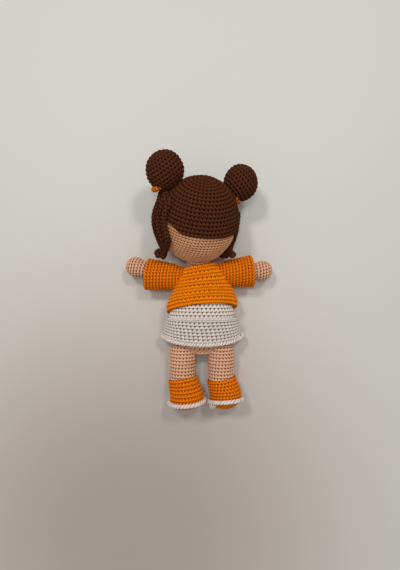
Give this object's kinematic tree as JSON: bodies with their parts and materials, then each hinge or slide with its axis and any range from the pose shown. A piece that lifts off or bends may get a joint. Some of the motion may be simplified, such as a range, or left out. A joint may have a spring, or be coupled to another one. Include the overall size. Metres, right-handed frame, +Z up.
{
  "type": "crocheted doll",
  "caption": "Crocheted doll lying on its back: head with bun hair, sweater, flounced skirt, arms and legs in shoes, sewn together and filled, with soft joints at neck, shoulders and hips.",
  "frame": {"origin": "middle of the sweater's back at the shoulder line's foot, where its flat lies on the table", "axes": "+Y along the doll toward the head, +Z up from the table through the face, +X toward the doll's side that is on the right as it is seen from above"},
  "size_m": [0.1597, 0.268, 0.0851],
  "materials": {
    "peach_crochet": "matte cotton yarn",
    "brown_crochet": "matte cotton yarn",
    "orange_crochet": "matte cotton yarn",
    "white_crochet": "matte cotton yarn",
    "toy_filling": "loose polyester fibre"
  },
  "bodies": {
    "torso": {"torso_skin": "peach_crochet", "torso_stuffing": "toy_filling", "sweater_body": "orange_crochet", "skirt_yoke": "white_crochet", "skirt_flounce": "white_crochet", "skirt_edging": "white_crochet"},
    "head": {"head_skin": "peach_crochet", "head_stuffing": "toy_filling", "hair_cap": "brown_crochet", "hair_bun_port": "brown_crochet", "hair_bun_stuffing_port": "toy_filling", "hair_tie_port": "orange_crochet", "hair_bun_starboard": "brown_crochet", "hair_bun_stuffing_starboard": "toy_filling", "hair_tie_starboard": "orange_crochet", "hair_lock_back_port": "brown_crochet", "hair_lock_middle_port": "brown_crochet", "hair_lock_front_port": "brown_crochet", "hair_lock_back_starboard": "brown_crochet", "hair_lock_middle_starboard": "brown_crochet", "hair_lock_front_starboard": "brown_crochet"},
    "arm_port": {"arm_skin_port": "peach_crochet", "arm_stuffing_port": "toy_filling", "sweater_sleeve_port": "orange_crochet"},
    "arm_starboard": {"arm_skin_starboard": "peach_crochet", "arm_stuffing_starboard": "toy_filling", "sweater_sleeve_starboard": "orange_crochet"},
    "leg_port": {"leg_skin_port": "peach_crochet", "leg_stuffing_port": "toy_filling", "shoe_upper_port": "orange_crochet", "shoe_trim_port": "white_crochet", "shoe_sole_port": "orange_crochet"},
    "leg_starboard": {"leg_skin_starboard": "peach_crochet", "leg_stuffing_starboard": "toy_filling", "shoe_upper_starboard": "orange_crochet", "shoe_trim_starboard": "white_crochet", "shoe_sole_starboard": "orange_crochet"}
  },
  "joints": [
    {"name": "head_turn", "type": "hinge", "parent": "torso", "child": "head", "pos_m": [-0.0034, 0.0931, 0.04195], "axis": [0, 0.9265, 0.3763], "range_deg": [-25, 25], "stiffness_Nm_per_rad": 0.05},
    {"name": "shoulder_port", "type": "hinge", "parent": "torso", "child": "arm_port", "pos_m": [-0.0268, 0.0342, 0.021], "axis": [0, 0, 1], "range_deg": [-12, 35], "stiffness_Nm_per_rad": 0.01, "deforming": ["sweater_sleeve_port"]},
    {"name": "shoulder_starboard", "type": "hinge", "parent": "torso", "child": "arm_starboard", "pos_m": [0.0248, 0.0388, 0.021], "axis": [0, 0, -1], "range_deg": [-16, 26], "stiffness_Nm_per_rad": 0.01, "deforming": ["sweater_sleeve_starboard"]},
    {"name": "hip_port", "type": "hinge", "parent": "torso", "child": "leg_port", "pos_m": [-0.0213, -0.0439, 0.0294], "axis": [-1, 0, 0], "range_deg": [0, 75], "stiffness_Nm_per_rad": 0.02},
    {"name": "hip_starboard", "type": "hinge", "parent": "torso", "child": "leg_starboard", "pos_m": [0.0211, -0.0439, 0.0294], "axis": [-1, 0, 0], "range_deg": [0, 75], "stiffness_Nm_per_rad": 0.02}
  ]
}
